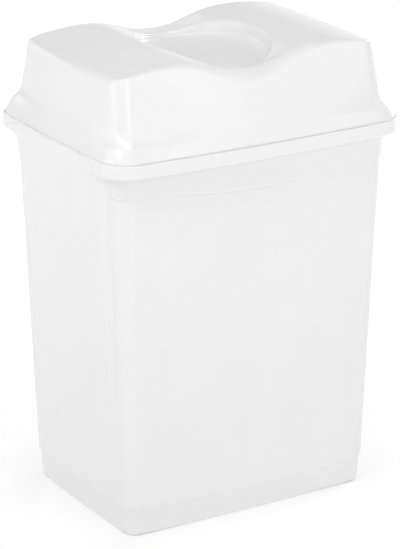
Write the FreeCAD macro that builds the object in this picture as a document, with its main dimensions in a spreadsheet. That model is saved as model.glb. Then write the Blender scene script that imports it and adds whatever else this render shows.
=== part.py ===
import FreeCAD, Part
import math
import os

# Flip-lid bin: a tapered tub with a rim band, a domed lid and two hinge pins.
# Millimetres, +Z up, the origin at the centre of the resting face.

doc = FreeCAD.newDocument("bin")
V = FreeCAD.Vector
ROT = FreeCAD.Rotation

dims = doc.addObject("Spreadsheet::Sheet", "dims")
dims.Label = "dims"
row = [0]
val = {}


def cell(name, value):
    row[0] += 1
    dims.set("A%d" % row[0], name)
    dims.set("B%d" % row[0], repr(float(value)))
    dims.setAlias("B%d" % row[0], name)
    val[name] = float(value)
    return float(value)


def E(text):
    # every word that is a cell of the sheet becomes a reference to it
    out = ""
    word = ""
    for ch in text + " ":
        if ch.isalnum() or ch == "_":
            word += ch
        else:
            if word:
                out += ("<<dims>>." + word) if word in val else word
            word = ""
            out += ch
    return out.strip()


# ---------------------------------------------------------------- sizes
cell("wall", 2.4)              # tub and lid wall
cell("floor_thick", 2.8)
cell("rim_low", 400.0)         # underside of the rim band
cell("rim_high", 415.6)        # top of the rim band
cell("shelf_high", 404.2)      # ledge the lid comes down on
cell("rim_wall", 2.3)
cell("lid_low", 404.5)
cell("lid_gap", 0.8)
cell("hinge_y", 132.3)
cell("hinge_z", 419.2)
cell("hinge_offset", 92.0)     # middle of each knuckle from the centre
cell("knuckle_radius", 3.0)
cell("pin_radius", 1.5)
cell("pin_fit", 0.05)
cell("lug_length", 17.0)
cell("ear_length", 5.0)
cell("ear_gap", 0.4)
cell("dish_radius", 73.0)
cell("dish_low", 476.0)
cell("dish_curve", 236.0)
cell("valley_high", 486.8)
cell("crest_high", 501.8)
cell("crest_offset", 86.0)
cell("crest_outer", 300.0)
cell("lip_corner", 375.2)      # lower edge of the thicker upper zone
cell("lip_middle", 366.2)
cell("lip_half", 106.0)

# outline sections: level, half size x, half size y, corner radius,
# bow of the long side, bow of the short side
OUT = {
    "foot_low":    (0.0,   149.6, 105.2, 11.0, 4.6, 3.6),
    "foot_top":    (30.5,  151.1, 106.7, 12.0, 4.4, 3.4),
    "tub_low":     (30.5,  153.0, 108.6, 14.0, 4.4, 3.4),
    "tub_high":    (402.0, 165.5, 120.3, 20.0, 4.0, 3.0),
    "collar_low":  (350.0, 165.6, 120.4, 20.0, 4.0, 3.0),
    "collar_high": (402.0, 167.3, 122.1, 21.0, 4.0, 3.0),
    "band_low":    (400.0, 180.5, 135.4, 32.0, 4.0, 3.0),
    "band_high":   (415.6, 180.5, 135.4, 32.0, 4.0, 3.0),
    "end_low":     (84.0,  154.6, 93.0, 12.0, 2.0, 3.0),
    "end_mid":     (368.0, 173.2, 95.5, 18.0, 2.0, 3.0),
    "flare_one":   (380.0, 174.8, 96.3, 18.0, 2.0, 3.0),
    "flare_two":   (391.0, 177.4, 100.0, 18.0, 2.0, 3.0),
    "flare_top":   (401.5, 180.3, 110.0, 20.0, 2.0, 3.0),
}
for key in OUT:
    z, a, b, r, s1, s2 = OUT[key]
    cell(key + "_level", z)
    cell(key + "_half_x", a)
    cell(key + "_half_y", b)
    cell(key + "_round", r)
    cell(key + "_bow_x", s1)
    cell(key + "_bow_y", s2)

# lid sections from the skirt up; the bows grow where the corners draw in
LID = [
    ("skirt_low",  404.5, 177.4, 132.3, 28.9, 4.0, 3.0),
    ("skirt_high", 416.4, 177.4, 132.3, 28.9, 4.0, 3.0),
    ("ogee_one",   419.5, 176.6, 131.1, 28.0, 5.6, 4.2),
    ("ogee_two",   424.0, 175.4, 129.4, 27.0, 6.8, 5.1),
    ("ogee_three", 429.0, 174.2, 127.6, 25.5, 8.2, 6.2),
    ("ogee_four",  433.5, 173.1, 125.9, 24.0, 9.9, 7.4),
    ("ogee_five",  438.0, 172.0, 124.2, 22.5, 11.4, 8.6),
    ("ogee_six",   444.0, 170.5, 122.0, 21.0, 12.0, 9.0),
    ("dome_high",  512.0, 156.6, 97.0, 19.0, 1.6, 1.2),
]
for key, z, a, b, r, s1, s2 in LID:
    cell(key + "_level", z)
    cell(key + "_half_x", a)
    cell(key + "_half_y", b)
    cell(key + "_round", r)
    cell(key + "_bow_x", s1)
    cell(key + "_bow_y", s2)
doc.recompute()


def plane(body, role):
    for o in body.Origin.OriginFeatures:
        if o.Role == role:
            return o


def new_body(name):
    b = doc.addObject("PartDesign::Body", name)
    b.Label = name
    return b


def arc(sk, cx, cy, r, a0, a1):
    c = Part.Circle(V(cx, cy, 0), V(0, 0, 1), r)
    return sk.addGeometry(Part.ArcOfCircle(c, a0, a1), False)


def outline(body, name, key, level, inset="0.0"):
    # bowed rounded rectangle: four long arcs joined by four corner arcs
    import Sketcher
    sk = body.newObject("Sketcher::SketchObject", name)
    sk.AttachmentSupport = [(plane(body, "XY_Plane"), "")]
    sk.MapMode = "FlatFace"
    off = eval_number(inset)
    a = val[key + "_half_x"] - off
    b = val[key + "_half_y"] - off
    r = val[key + "_round"] - off
    s1 = val[key + "_bow_x"]
    s2 = val[key + "_bow_y"]
    xc = a - r - s2
    yc = b - r - s1
    R1 = (xc * xc + s1 * s1) / (2 * s1) + r
    R2 = (yc * yc + s2 * s2) / (2 * s2) + r
    t1 = math.atan2(yc - (b - R1), xc)          # corner centre from the long arc's centre
    t2 = math.atan2(yc, xc - (a - R2))
    pi = math.pi
    g = []
    g.append(arc(sk, a - R2, 0, R2, -t2, t2))                    # +x side
    g.append(arc(sk, xc, yc, r, t2, t1))
    g.append(arc(sk, 0, b - R1, R1, t1, pi - t1))                # +y side
    g.append(arc(sk, -xc, yc, r, pi - t1, pi - t2))
    g.append(arc(sk, -(a - R2), 0, R2, pi - t2, pi + t2))        # -x side
    g.append(arc(sk, -xc, -yc, r, pi + t2, pi + t1))
    g.append(arc(sk, 0, -(b - R1), R1, pi + t1, 2 * pi - t1))    # -y side
    g.append(arc(sk, xc, -yc, r, -t1, -t2))
    C = Sketcher.Constraint
    for i in range(8):
        sk.addConstraint(C("Tangent", g[i], 2, g[(i + 1) % 8], 1))
    K = E(key + "_half_x - " + key + "_round - " + key + "_bow_y")
    L = E(key + "_half_y - " + key + "_round - " + key + "_bow_x")
    I = E(inset)
    rr = E(key + "_round") + " - (" + I + ")"
    f1 = "((%s)^2 + (%s)^2) / (2 * %s) + %s" % (K, E(key + "_bow_x"), E(key + "_bow_x"), rr)
    f2 = "((%s)^2 + (%s)^2) / (2 * %s) + %s" % (L, E(key + "_bow_y"), E(key + "_bow_y"), rr)

    def dist(kind, geo, value, text, flip):
        if flip:
            n = sk.addConstraint(C(kind, geo, 3, -1, 1, value))
        else:
            n = sk.addConstraint(C(kind, -1, 1, geo, 3, value))
        sk.setExpression("Constraints[%d]" % n, "(%s) * 1mm" % text)

    for i, fx, fy in ((1, False, False), (3, True, False), (5, True, True), (7, False, True)):
        dist("DistanceX", g[i], xc, K, fx)
        dist("DistanceY", g[i], yc, L, fy)
    n = sk.addConstraint(C("Radius", g[1], r))
    sk.setExpression("Constraints[%d]" % n, "(%s) * 1mm" % rr)
    for i in (3, 5, 7):
        sk.addConstraint(C("Equal", g[1], g[i]))
    n = sk.addConstraint(C("Radius", g[0], R2))
    sk.setExpression("Constraints[%d]" % n, "(%s) * 1mm" % f2)
    n = sk.addConstraint(C("Radius", g[4], R2))
    sk.setExpression("Constraints[%d]" % n, "(%s) * 1mm" % f2)
    n = sk.addConstraint(C("Radius", g[2], R1))
    sk.setExpression("Constraints[%d]" % n, "(%s) * 1mm" % f1)
    n = sk.addConstraint(C("Radius", g[6], R1))
    sk.setExpression("Constraints[%d]" % n, "(%s) * 1mm" % f1)
    sk.AttachmentOffset = FreeCAD.Placement(V(0, 0, eval_number(level)), ROT())
    sk.setExpression("AttachmentOffset.Base.z", "(%s) * 1mm" % E(level))
    return sk


def eval_number(text):
    # sum of sheet words and plain numbers, such as "wall + 0.3"
    total = 0.0
    sign = 1.0
    for word in text.split():
        if word == "+":
            sign = 1.0
        elif word == "-":
            sign = -1.0
        else:
            total += sign * (val[word] if word in val else float(word))
    return total


def loft(body, name, sketches, ruled=True, cut=False):
    kind = "PartDesign::SubtractiveLoft" if cut else "PartDesign::AdditiveLoft"
    f = body.newObject(kind, name)
    f.Profile = sketches[0]
    f.Sections = sketches[1:]
    f.Ruled = ruled
    doc.recompute()
    body.Tip = f
    return f


def free_profile(body, name, role, builder):
    sk = body.newObject("Sketcher::SketchObject", name)
    sk.AttachmentSupport = [(plane(body, role), "")]
    sk.MapMode = "FlatFace"
    builder(sk)
    return sk


def line(sk, x0, y0, x1, y1):
    return sk.addGeometry(Part.LineSegment(V(x0, y0, 0), V(x1, y1, 0)), False)


def pocket_through(body, name, sk):
    before = body.Tip.Shape.Volume
    f = body.newObject("PartDesign::Pocket", name)
    f.Profile = sk
    f.Type = 1
    f.SideType = 2
    doc.recompute()
    if f.Shape.isNull() or not f.Shape.isValid() or abs(f.Shape.Volume - before) < 1.0:
        raise RuntimeError(name + " cut nothing")
    body.Tip = f
    return f


# ---------------------------------------------------------------- tub, outer form
tub = new_body("tub_form")
c0 = outline(tub, "collar_sketch_low", "collar_low", "collar_low_level")
c1 = outline(tub, "collar_sketch_high", "collar_high", "collar_high_level")
loft(tub, "collar", [c0, c1])


def lip_profile(sk):
    # on the XZ plane: everything below the lower edge of the upper zone
    import Sketcher
    C = Sketcher.Constraint
    hw = val["lip_half"]
    zc = val["lip_corner"]
    zm = val["lip_middle"]
    R = (hw * hw + (zc - zm) ** 2) / (2 * (zc - zm))
    t = math.asin(hw / R)
    W = 220.0
    g0 = line(sk, -W, 300, W, 300)
    g1 = line(sk, W, 300, W, zc)
    g2 = line(sk, W, zc, hw, zc)
    g3 = arc(sk, 0, zm + R, R, -math.pi / 2 - t, -math.pi / 2 + t)
    g4 = line(sk, -hw, zc, -W, zc)
    g5 = line(sk, -W, zc, -W, 300)
    sk.addConstraint(C("Coincident", g0, 2, g1, 1))
    sk.addConstraint(C("Coincident", g1, 2, g2, 1))
    sk.addConstraint(C("Coincident", g2, 2, g3, 2))
    sk.addConstraint(C("Coincident", g3, 1, g4, 1))
    sk.addConstraint(C("Coincident", g4, 2, g5, 1))
    sk.addConstraint(C("Coincident", g5, 2, g0, 1))
    sk.addConstraint(C("Horizontal", g0))
    sk.addConstraint(C("Vertical", g1))
    sk.addConstraint(C("Horizontal", g2))
    sk.addConstraint(C("Horizontal", g4))
    sk.addConstraint(C("Vertical", g5))

    def d(kind, ge, po, v, text):
        if v >= 0:
            n = sk.addConstraint(C(kind, -1, 1, ge, po, v))
        else:
            n = sk.addConstraint(C(kind, ge, po, -1, 1, -v))
        sk.setExpression("Constraints[%d]" % n, "(%s) * 1mm" % text)

    d("DistanceX", g2, 2, hw, E("lip_half"))
    d("DistanceX", g4, 1, -hw, E("lip_half"))
    d("DistanceY", g2, 2, zc, E("lip_corner"))
    d("DistanceY", g4, 1, zc, E("lip_corner"))
    d("DistanceX", g0, 1, -W, "220")
    d("DistanceX", g0, 2, W, "220")
    d("DistanceY", g0, 1, 300.0, "300")
    n = sk.addConstraint(C("Radius", g3, R))
    sk.setExpression("Constraints[%d]" % n,
                     "(((%s)^2 + (%s)^2) / (2 * (%s))) * 1mm"
                     % (E("lip_half"), E("lip_corner - lip_middle"), E("lip_corner - lip_middle")))


lp = free_profile(tub, "lip_sketch", "XZ_Plane", lip_profile)
pocket_through(tub, "lip_cut", lp)

s0 = outline(tub, "tub_sketch_low", "tub_low", "tub_low_level")
s1 = outline(tub, "tub_sketch_high", "tub_high", "tub_high_level")
loft(tub, "tub_walls", [s0, s1])

e0 = outline(tub, "end_sketch_low", "end_low", "end_low_level")
e1 = outline(tub, "end_sketch_mid", "end_mid", "end_mid_level")
loft(tub, "end_panels", [e0, e1])
e2 = outline(tub, "end_sketch_mid_again", "end_mid", "end_mid_level")
e3 = outline(tub, "flare_sketch_one", "flare_one", "flare_one_level")
e4 = outline(tub, "flare_sketch_two", "flare_two", "flare_two_level")
e5 = outline(tub, "flare_sketch_top", "flare_top", "flare_top_level")
loft(tub, "end_flares", [e2, e3, e4, e5], ruled=False)

cell("foot_edge", 3.5)
cell("rim_edge_low", 3.0)
cell("rim_edge_high", 1.4)
for edge in ("foot_edge", "rim_edge_low", "rim_edge_high"):
    for i in range(5):
        t = math.radians(22.5 * i)
        cell("%s_in_%d" % (edge, i), val[edge] * (1 - math.sin(t)))
        cell("%s_up_%d" % (edge, i), val[edge] * (1 - math.cos(t)))
doc.recompute()


def rounded(body, name, key, level, edge, way):
    # quarter-round edge as a smooth loft; way is + above the level, - below it
    sk = []
    for i in range(5):
        inset = "%s_in_%d" % (edge, i)
        rise = "%s %s %s_up_%d" % (level, way, edge, i)
        sk.append(outline(body, "%s_sketch_%d" % (name, i), key, rise, inset))
    return loft(body, name, sk, ruled=False)


rounded(tub, "foot_rounding", "foot_low", "foot_low_level", "foot_edge", "+")
f0 = outline(tub, "foot_sketch_low", "foot_low", "foot_low_level + foot_edge")
f1 = outline(tub, "foot_sketch_top", "foot_top", "foot_top_level")
loft(tub, "foot", [f0, f1])

rounded(tub, "rim_rounding_low", "band_low", "rim_low", "rim_edge_low", "+")
b0 = outline(tub, "band_sketch_low", "band_low", "rim_low + rim_edge_low")
b1 = outline(tub, "band_sketch_high", "band_high", "rim_high - rim_edge_high")
loft(tub, "rim_band", [b0, b1])
rounded(tub, "rim_rounding_high", "band_high", "rim_high", "rim_edge_high", "-")
doc.recompute()


# ---------------------------------------------------------------- tub, hollow
hollow = new_body("tub_hollow")
h0 = outline(hollow, "hollow_sketch_foot", "foot_low", "foot_low_level + floor_thick", "wall + 0.6")
h1 = outline(hollow, "hollow_sketch_step", "foot_top", "foot_top_level", "wall")
loft(hollow, "hollow_foot", [h0, h1])
h2 = outline(hollow, "hollow_sketch_low", "foot_top", "foot_top_level", "wall")
h3 = outline(hollow, "hollow_sketch_mid", "tub_low", "tub_low_level + 6.0", "wall")
loft(hollow, "hollow_step", [h2, h3])
h4 = outline(hollow, "hollow_sketch_mid_again", "tub_low", "tub_low_level + 6.0", "wall")
h5 = outline(hollow, "hollow_sketch_high", "tub_high", "tub_high_level + 3.0", "wall")
loft(hollow, "hollow_walls", [h4, h5])
k0 = outline(hollow, "hollow_end_low", "end_low", "end_low_level", "wall")
k1 = outline(hollow, "hollow_end_mid", "end_mid", "end_mid_level", "wall")
loft(hollow, "hollow_ends", [k0, k1])
k2 = outline(hollow, "hollow_end_mid_again", "end_mid", "end_mid_level", "wall")
k3 = outline(hollow, "hollow_flare_one", "flare_one", "flare_one_level", "wall")
k4 = outline(hollow, "hollow_flare_two", "flare_two", "flare_two_level", "wall + 1.0")
k5 = outline(hollow, "hollow_flare_top", "flare_two", "flare_top_level + 3.5", "wall + 2.0")
loft(hollow, "hollow_flares", [k2, k3, k4, k5], ruled=True)
r0 = outline(hollow, "recess_sketch_low", "band_low", "shelf_high", "rim_wall")
r1 = outline(hollow, "recess_sketch_high", "band_high", "band_high_level + 4.0", "rim_wall")
loft(hollow, "rim_recess", [r0, r1])

# ---------------------------------------------------------------- lid, outer form
dome = new_body("lid_form")
by_key = {k[0]: k for k in LID}
d0 = outline(dome, "skirt_sketch_low", "skirt_low", "skirt_low_level")
d1 = outline(dome, "skirt_sketch_high", "skirt_high", "skirt_high_level")
loft(dome, "skirt", [d0, d1])
ogee = ["skirt_high", "ogee_one", "ogee_two", "ogee_three", "ogee_four", "ogee_five", "ogee_six"]
og = [outline(dome, "shoulder_sketch_" + k, k, k + "_level") for k in ogee]
loft(dome, "shoulder", og, ruled=False)
g0 = outline(dome, "dome_sketch_low", "ogee_six", "ogee_six_level")
g1 = outline(dome, "dome_sketch_high", "dome_high", "dome_high_level")
loft(dome, "dome_walls", [g0, g1])


def wave(sk, drop, text):
    # on the XZ plane: everything above the wave-shaped top
    import Sketcher
    C = Sketcher.Constraint
    vz = val["valley_high"] - drop
    cz = val["crest_high"] - drop
    cx = val["crest_offset"]
    hgt = cz - vz
    RR = (cx * cx + hgt * hgt) / (2 * hgt)      # both radii together
    Rv = RR * 0.48 + drop
    Rc = RR * 0.52 - drop
    Ro = val["crest_outer"] - drop
    W = 175.0
    # tangent point of valley and crest arcs
    ang = math.atan2(cx, RR - hgt)
    top = 540.0
    zo = cz - Ro + math.sqrt(Ro * Ro - (W - cx) ** 2)
    a_end = math.atan2(zo - (cz - Ro), W - cx)
    g = []
    g.append(arc(sk, -cx, cz - Ro, Ro, math.pi / 2, math.pi - a_end))
    g.append(arc(sk, -cx, cz - Rc, Rc, math.pi / 2 - ang, math.pi / 2))
    g.append(arc(sk, 0, vz + Rv, Rv, -math.pi / 2 - ang, -math.pi / 2 + ang))
    g.append(arc(sk, cx, cz - Rc, Rc, math.pi / 2, math.pi / 2 + ang))
    g.append(arc(sk, cx, cz - Ro, Ro, a_end, math.pi / 2))
    g.append(line(sk, W, zo, W, top))
    g.append(line(sk, W, top, -W, top))
    g.append(line(sk, -W, top, -W, zo))
    sk.addConstraint(C("Tangent", g[0], 1, g[1], 2))
    sk.addConstraint(C("Tangent", g[1], 1, g[2], 1))
    sk.addConstraint(C("Tangent", g[2], 2, g[3], 2))
    sk.addConstraint(C("Tangent", g[3], 1, g[4], 2))
    sk.addConstraint(C("Coincident", g[4], 1, g[5], 1))
    sk.addConstraint(C("Coincident", g[5], 2, g[6], 1))
    sk.addConstraint(C("Coincident", g[6], 2, g[7], 1))
    sk.addConstraint(C("Coincident", g[7], 2, g[0], 2))

    def d(kind, ge, po, v, t):
        if v >= 0:
            n = sk.addConstraint(C(kind, -1, 1, ge, po, v))
        else:
            n = sk.addConstraint(C(kind, ge, po, -1, 1, -v))
        if t:
            sk.setExpression("Constraints[%d]" % n, "(%s) * 1mm" % t)

    hh = E("crest_high - valley_high")
    fr = "((%s)^2 + (%s)^2) / (2 * (%s))" % (E("crest_offset"), hh, hh)
    for ge, v, t in ((g[0], Ro, "%s - %s" % (E("crest_outer"), text)),
                     (g[1], Rc, "%s * 0.52 - %s" % (fr, text)),
                     (g[2], Rv, "%s * 0.48 + %s" % (fr, text)),
                     (g[3], Rc, "%s * 0.52 - %s" % (fr, text)),
                     (g[4], Ro, "%s - %s" % (E("crest_outer"), text))):
        n = sk.addConstraint(C("Radius", ge, v))
        sk.setExpression("Constraints[%d]" % n, "(%s) * 1mm" % t)
    cxt = E("crest_offset")
    d("DistanceX", g[0], 3, -cx, cxt)
    d("DistanceX", g[1], 3, -cx, cxt)
    d("DistanceX", g[3], 3, cx, cxt)
    d("DistanceX", g[4], 3, cx, cxt)
    sk.addConstraint(C("PointOnObject", g[2], 3, -2))
    d("DistanceY", g[2], 3, vz + Rv, "%s + %s * 0.48" % (E("valley_high"), fr))
    d("DistanceX", g[5], 1, W, "175")
    d("DistanceX", g[7], 2, -W, "175")
    sk.addConstraint(C("Vertical", g[5]))
    sk.addConstraint(C("Vertical", g[7]))
    sk.addConstraint(C("Horizontal", g[6]))
    d("DistanceY", g[6], 1, top, "540")


wv = free_profile(dome, "wave_sketch", "XZ_Plane", lambda sk: wave(sk, 0.0, "0"))
pocket_through(dome, "wave_cut", wv)


def top_edges(shape, z_floor):
    out = []
    for i, e in enumerate(shape.Edges):
        m = e.valueAt((e.FirstParameter + e.LastParameter) / 2)
        if e.BoundBox.ZMin > z_floor and e.BoundBox.ZLength < 40:
            # an edge between the top and a wall, not one across the top
            if max(abs(m.x) / 150.0, abs(m.y) / 95.0) > 0.93 and e.Length > 1.0:
                across = e.BoundBox.YLength > 150 and abs(m.x) < 140
                if not across:
                    out.append("Edge%d" % (i + 1))
    return out


cell("end_round", 12.0)
cell("valley_round", 15.0)
cell("crest_round", 8.5)
cell("corner_round", 6.0)
doc.recompute()


def top_rounding(name, base, z_floor, less):
    # rounding between the top and the walls: soft at the ends and the valley,
    # tighter towards the four corners
    shape = base.Shape
    table = []
    for word in top_edges(shape, z_floor):
        e = shape.Edges[int(word[4:]) - 1]
        pair = []
        for p in (e.valueAt(e.FirstParameter), e.valueAt(e.LastParameter)):
            if abs(p.x) > 147 and abs(p.y) < 89:
                size = val["end_round"]
            elif abs(p.x) < 44:
                size = val["valley_round"]
            elif abs(p.x) < 89:
                size = val["crest_round"]
            else:
                size = val["corner_round"]
            pair.append(size - less)
        table.append((int(word[4:]), pair[0], pair[1]))
    f = doc.addObject("Part::Fillet", name)
    f.Base = base
    f.Edges = table
    doc.recompute()
    if f.Shape.isNull() or not f.Shape.isValid() or f.Shape.Volume >= shape.Volume:
        raise RuntimeError(name + " failed")
    return f


dome_round = top_rounding("lid_outer", dome, 470.0, 0.0)

# ---------------------------------------------------------------- lid, hollow
cave = new_body("lid_hollow")
m0 = outline(cave, "cave_sketch_low", "skirt_low", "skirt_low_level - 2.0", "wall")
m1 = outline(cave, "cave_sketch_high", "skirt_high", "skirt_high_level", "wall")
loft(cave, "cave_skirt", [m0, m1])
mg = [outline(cave, "cave_shoulder_" + k, k, k + "_level", "wall") for k in ogee]
loft(cave, "cave_shoulder", mg, ruled=False)
m2 = outline(cave, "cave_sketch_dome", "ogee_six", "ogee_six_level", "wall")
m3 = outline(cave, "cave_sketch_top", "dome_high", "dome_high_level", "wall")
loft(cave, "cave_walls", [m2, m3])
wc = free_profile(cave, "cave_wave_sketch", "XZ_Plane", lambda sk: wave(sk, 2.4, E("wall")))
pocket_through(cave, "cave_wave_cut", wc)
doc.recompute()
cave_round = top_rounding("lid_inner", cave, 465.0, 2.0)


# ---------------------------------------------------------------- primitives
def cylinder(name, radius, height, base, axis="z"):
    o = doc.addObject("Part::Cylinder", name)
    o.Radius = eval_number(radius)
    o.Height = eval_number(height)
    o.setExpression("Radius", "(%s) * 1mm" % E(radius))
    o.setExpression("Height", "(%s) * 1mm" % E(height))
    rot = ROT(V(0, 1, 0), 90) if axis == "x" else (ROT(V(1, 0, 0), 90) if axis == "y" else ROT())
    o.Placement = FreeCAD.Placement(V(*[eval_number(t) for t in base]), rot)
    for k, t in zip("xyz", base):
        o.setExpression("Placement.Base." + k, "(%s) * 1mm" % E(t))
    return o


def box(name, size, base):
    o = doc.addObject("Part::Box", name)
    for k, t in zip(("Length", "Width", "Height"), size):
        setattr(o, k, eval_number(t))
        o.setExpression(k, "(%s) * 1mm" % E(t))
    o.Placement = FreeCAD.Placement(V(*[eval_number(t) for t in base]), ROT())
    for k, t in zip("xyz", base):
        o.setExpression("Placement.Base." + k, "(%s) * 1mm" % E(t))
    return o


def cut(name, base, tool):
    o = doc.addObject("Part::Cut", name)
    o.Base = base
    o.Tool = tool
    return o


def common(name, base, tool):
    o = doc.addObject("Part::Common", name)
    o.Base = base
    o.Tool = tool
    return o


def fuse(name, shapes):
    o = doc.addObject("Part::MultiFuse", name)
    o.Shapes = shapes
    return o


# ---------------------------------------------------------------- dish in the lid
# a round well whose floor is curved like the valley
well = cylinder("dish_well", "dish_radius", "60.0", ("0.0", "0.0", "dish_low - 4.0"))
below = cylinder("dish_floor", "dish_curve", "240.0", ("0.0", "120.0", "dish_low + dish_curve"), axis="y")
dish_cut = common("dish_space", well, below)
pan = cylinder("dish_pan", "dish_radius + wall", "70.0", ("0.0", "0.0", "dish_low - 14.0"))
under = cylinder("dish_under", "dish_curve + wall", "240.0", ("0.0", "120.0", "dish_low + dish_curve"), axis="y")
pan_space = common("dish_pan_space", pan, under)
cave_open = cut("lid_cave", cave_round, pan_space)
lid_dished = cut("lid_dished", dome_round, dish_cut)
lid_shell = cut("lid_shell", lid_dished, cave_open)

# ---------------------------------------------------------------- hinge
# two knuckles on the back; each pin is held by two ears on the rim
sides = (("left", -1.0), ("right", 1.0))
pads = []
notches = []
lugs = []
bores = []
ears = []
ear_bores = []
pins = []
for side, sg in sides:
    mid = "hinge_offset" if sg > 0 else "0.0 - hinge_offset"
    half = "lug_half"
    if "lug_half" not in val:
        cell("lug_half", val["lug_length"] / 2)
        cell("ear_start", val["lug_length"] / 2 + val["ear_gap"])
        cell("ear_end", val["lug_length"] / 2 + val["ear_gap"] + val["ear_length"])
        cell("pad_half", val["lug_length"] / 2 + val["ear_gap"] + val["ear_length"] + 3.0)
        cell("lug_reach", 5.6)
        doc.recompute()
    # thicker pad inside the back wall of the lid, then the lug
    pads.append(box("lid_pad_" + side, ("pad_half + pad_half", "9.0", "13.0"),
                    (mid + " - pad_half", "hinge_y - 10.6", "hinge_z - 6.6")))
    lugs.append(cylinder("lid_lug_" + side, "knuckle_radius", "lug_length",
                         (mid + " - lug_half", "hinge_y", "hinge_z"), axis="x"))
    lugs.append(box("lid_lug_web_" + side, ("lug_length", "lug_reach", "knuckle_radius + knuckle_radius"),
                    (mid + " - lug_half", "hinge_y - lug_reach", "hinge_z - knuckle_radius")))
    bores.append(cylinder("lid_bore_" + side, "pin_radius + pin_fit", "lug_length + 2.0",
                          (mid + " - lug_half - 1.0", "hinge_y", "hinge_z"), axis="x"))
    for tag, start in (("near", mid + " - ear_end"), ("far", mid + " + ear_start")):
        notches.append(cylinder("lid_notch_%s_%s" % (tag, side), "knuckle_radius + 0.5",
                                "ear_length + ear_gap + ear_gap",
                                (start + " - ear_gap", "hinge_y", "hinge_z"), axis="x"))
        ears.append(cylinder("ear_%s_%s" % (tag, side), "knuckle_radius", "ear_length",
                             (start, "hinge_y", "hinge_z"), axis="x"))
        ears.append(box("ear_leg_%s_%s" % (tag, side), ("ear_length", "2.2", "hinge_z - rim_high + 2.0"),
                        (start, "hinge_y - 0.2", "rim_high - 2.0")))
    ear_bores.append(cylinder("ear_bore_" + side, "pin_radius", "ear_end + ear_end + 2.0",
                              (mid + " - ear_end - 1.0", "hinge_y", "hinge_z"), axis="x"))
    p = cylinder("hinge_pin_" + side, "pin_radius", "ear_end + ear_end",
                 (mid + " - ear_end", "hinge_y", "hinge_z"), axis="x")
    p.Label = "hinge_pin_" + side
    pins.append(p)
doc.recompute()

# the pads stay inside the lid's outer form
pad_all = fuse("lid_pads", pads)
pad_in = common("lid_pads_inside", pad_all, lid_dished)
lid_a = fuse("lid_with_pads", [lid_shell, pad_in])
notch_all = fuse("lid_notches", notches)
lid_b = cut("lid_notched", lid_a, notch_all)
lid_c = fuse("lid_with_lugs", [lid_b] + lugs)
bore_all = fuse("lid_bores", bores)
lid = cut("lid", lid_c, bore_all)
lid.Label = "lid"

tub_shell = cut("tub_shell", tub, hollow)
tub_ears = fuse("tub_with_ears", [tub_shell] + ears)
ear_bore_all = fuse("ear_bores", ear_bores)
bin_body = cut("bin_body", tub_ears, ear_bore_all)
bin_body.Label = "bin_body"

doc.recompute()

# ---------------------------------------------------------------- checks and files
bad = []
for o in doc.Objects:
    st = [str(s) for s in o.State]
    if "Invalid" in st or "Error" in st:
        bad.append(o.Name + " " + ",".join(st))
    sh = getattr(o, "Shape", None)
    if sh is not None and not o.isDerivedFrom("Sketcher::SketchObject") and o.TypeId not in (
            "App::Line", "App::Plane", "App::Point", "App::Origin"):
        if sh.isNull() or not sh.isValid():
            bad.append(o.Name + " shape")
if bad:
    raise RuntimeError("; ".join(bad))

os.makedirs("parts", exist_ok=True)
for o in (bin_body, lid, pins[0], pins[1]):
    sh = o.Shape
    bb = sh.BoundBox
    print(o.Label, "solids", len(sh.Solids), "faces", len(sh.Faces), "volume", round(sh.Volume),
          "box", [round(q, 2) for q in (bb.XMin, bb.YMin, bb.ZMin, bb.XMax, bb.YMax, bb.ZMax)])
    sh.exportStep("parts/%s.step" % o.Label)
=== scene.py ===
import bpy
import bmesh
import math
from mathutils import Vector, Matrix


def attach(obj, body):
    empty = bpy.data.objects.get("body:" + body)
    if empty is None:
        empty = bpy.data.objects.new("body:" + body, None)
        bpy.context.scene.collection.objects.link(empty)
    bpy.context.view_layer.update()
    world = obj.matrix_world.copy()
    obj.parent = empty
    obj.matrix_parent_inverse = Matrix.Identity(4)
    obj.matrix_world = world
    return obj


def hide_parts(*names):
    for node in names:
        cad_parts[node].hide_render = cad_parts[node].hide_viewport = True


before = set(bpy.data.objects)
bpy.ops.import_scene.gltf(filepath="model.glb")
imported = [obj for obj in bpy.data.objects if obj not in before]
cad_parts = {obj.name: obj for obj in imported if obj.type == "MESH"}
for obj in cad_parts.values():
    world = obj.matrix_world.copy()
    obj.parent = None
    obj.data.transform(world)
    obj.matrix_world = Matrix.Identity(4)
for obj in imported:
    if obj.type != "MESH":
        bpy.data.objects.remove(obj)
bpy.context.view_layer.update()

# every length below is in millimetres and is scaled to metres when a mesh is made
MM = 0.001

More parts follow.
